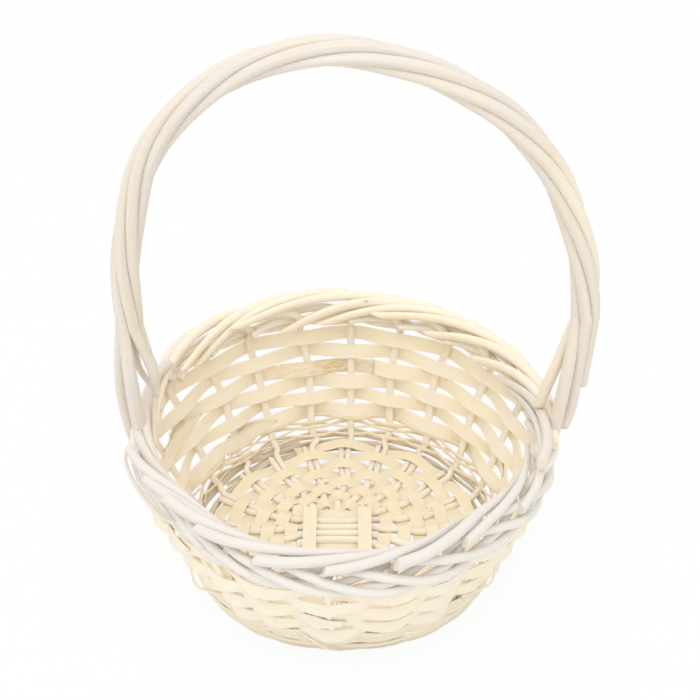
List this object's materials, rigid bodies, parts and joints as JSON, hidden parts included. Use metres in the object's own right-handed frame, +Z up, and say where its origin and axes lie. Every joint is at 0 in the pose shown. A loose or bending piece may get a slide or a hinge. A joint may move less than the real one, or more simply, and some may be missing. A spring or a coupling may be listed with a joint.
{
  "type": "knitting basket",
  "caption": "Round flared wicker basket with splint-woven sides and base, a rolled border of overlapping rods and a tall fixed bow handle of twisted rods.",
  "frame": {"origin": "middle of the overall outer box, at the level of the surface that the basket stands on; the basket's own round axis is 6.16 mm to the -X side of it, because the bow bulges further out on +X", "axes": "+Z up; the bow handle spans X; -Y is the side nearest the camera in the picture"},
  "size_m": [0.2806, 0.2554, 0.3573],
  "materials": {
    "peeled_white_rod": "peeled, bleached, matt with a soft sheen",
    "peeled_cream_rod": "peeled, matt",
    "cream_splint": "shaved, matt",
    "tan_rod": "thin peeled rod, matt"
  },
  "bodies": {
    "root": {"base_stick_01": "peeled_cream_rod", "base_stick_02": "peeled_cream_rod", "base_stick_03": "peeled_cream_rod", "base_stick_04": "peeled_cream_rod", "base_stick_05": "peeled_cream_rod", "base_stick_06": "peeled_cream_rod", "base_stick_07": "peeled_cream_rod", "base_stick_08": "peeled_cream_rod", "base_stick_09": "peeled_cream_rod", "base_stick_10": "peeled_cream_rod", "base_stick_11": "peeled_cream_rod", "base_weaver_1": "cream_splint", "base_weaver_2": "cream_splint", "border_rod_01": "peeled_white_rod", "border_rod_02": "peeled_white_rod", "border_rod_03": "peeled_white_rod", "border_rod_04": "peeled_white_rod", "border_rod_05": "peeled_white_rod", "border_rod_06": "peeled_white_rod", "border_rod_07": "peeled_white_rod", "border_rod_08": "peeled_white_rod", "border_rod_09": "peeled_white_rod", "border_rod_10": "peeled_white_rod", "border_rod_11": "peeled_white_rod", "foot_rod": "tan_rod", "handle_rod_1": "peeled_white_rod", "handle_rod_2": "peeled_white_rod", "handle_rod_3": "peeled_white_rod", "handle_rod_4": "peeled_white_rod", "handle_rod_5": "peeled_white_rod", "side_weaver_1": "cream_splint", "side_weaver_2": "cream_splint", "side_weaver_3": "cream_splint", "side_weaver_4": "cream_splint", "side_weaver_5": "cream_splint", "side_weaver_6": "cream_splint", "stake_01": "peeled_cream_rod", "stake_02": "peeled_cream_rod", "stake_03": "peeled_cream_rod", "stake_04": "peeled_cream_rod", "stake_05": "peeled_cream_rod", "stake_06": "peeled_cream_rod", "stake_07": "peeled_cream_rod", "stake_08": "peeled_cream_rod", "stake_09": "peeled_cream_rod", "stake_10": "peeled_cream_rod", "stake_11": "peeled_cream_rod", "stake_12": "peeled_cream_rod", "stake_13": "peeled_cream_rod", "stake_14": "peeled_cream_rod", "stake_15": "peeled_cream_rod", "stake_16": "peeled_cream_rod", "stake_17": "peeled_cream_rod", "stake_18": "peeled_cream_rod", "stake_19": "peeled_cream_rod", "stake_20": "peeled_cream_rod", "stake_21": "peeled_cream_rod", "stake_22": "peeled_cream_rod", "tie_strip": "cream_splint", "waling_rod": "tan_rod"}
  },
  "joints": []
}
